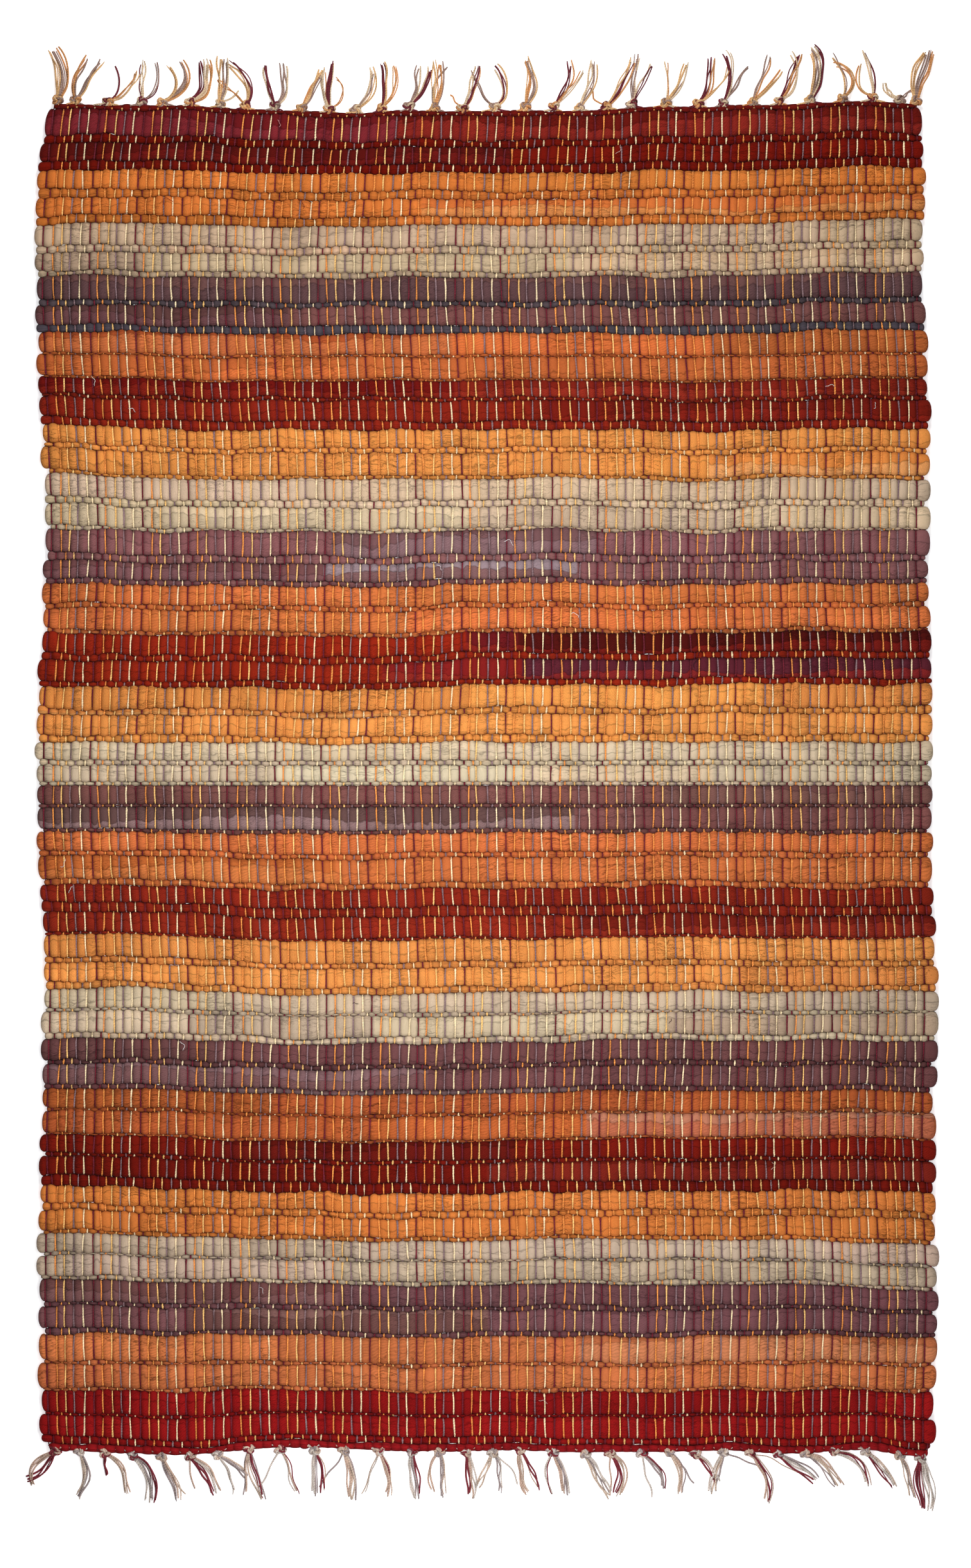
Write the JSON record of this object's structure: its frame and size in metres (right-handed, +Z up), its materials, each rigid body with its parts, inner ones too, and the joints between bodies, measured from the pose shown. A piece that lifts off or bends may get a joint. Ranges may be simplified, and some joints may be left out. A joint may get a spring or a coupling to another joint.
{
  "type": "rag rug",
  "caption": "Flat handwoven rag rug with coloured stripes across it and a knotted fringe at both short ends, which folds in half.",
  "frame": {"origin": "on the floor under the middle of the rug", "axes": "+Y along the warp to the far fringe, +X across the loom, +Z up out of the face"},
  "size_m": [0.6, 0.96, 0.007],
  "materials": {
    "weft_red": "woven cotton",
    "weft_gold": "woven cotton",
    "weft_tan": "woven cotton",
    "weft_purple": "woven cotton",
    "weft_rust": "woven cotton",
    "warp_burgundy": "twisted cotton yarn",
    "warp_orange": "twisted cotton yarn",
    "warp_gold": "twisted cotton yarn",
    "warp_grey": "twisted cotton yarn",
    "warp_cream": "twisted cotton yarn",
    "warp_mixed": "twisted cotton yarn"
  },
  "bodies": {
    "near_half": {"weft_band_14_purple": "weft_purple", "weft_band_15_rust": "weft_rust", "weft_band_16_red": "weft_red", "weft_band_17_gold": "weft_gold", "weft_band_18_tan": "weft_tan", "weft_band_19_purple": "weft_purple", "weft_band_20_rust": "weft_rust", "weft_band_21_red": "weft_red", "weft_band_22_gold": "weft_gold", "weft_band_23_tan": "weft_tan", "weft_band_24_purple": "weft_purple", "weft_band_25_rust": "weft_rust", "weft_band_26_red": "weft_red", "header_pick_near": "weft_red", "warp_burgundy_near": "warp_burgundy", "warp_orange_near": "warp_orange", "warp_gold_near": "warp_gold", "warp_grey_near": "warp_grey", "warp_cream_near": "warp_cream", "tassels_near": "warp_mixed"},
    "far_half": {"weft_band_01_red": "weft_red", "weft_band_02_gold": "weft_gold", "weft_band_03_tan": "weft_tan", "weft_band_04_purple": "weft_purple", "weft_band_05_rust": "weft_rust", "weft_band_06_red": "weft_red", "weft_band_07_gold": "weft_gold", "weft_band_08_tan": "weft_tan", "weft_band_09_purple": "weft_purple", "weft_band_10_rust": "weft_rust", "weft_band_11_red": "weft_red", "weft_band_12_gold": "weft_gold", "weft_band_13_tan": "weft_tan", "header_pick_far": "weft_red", "warp_burgundy_far": "warp_burgundy", "warp_orange_far": "warp_orange", "warp_gold_far": "warp_gold", "warp_grey_far": "warp_grey", "warp_cream_far": "warp_cream", "tassels_far": "warp_mixed"}
  },
  "joints": [
    {"name": "fold_line", "type": "hinge", "parent": "near_half", "child": "far_half", "pos_m": [0, -0.0055, 0.0073], "axis": [1, 0, 0], "range_deg": [0, 180]}
  ]
}
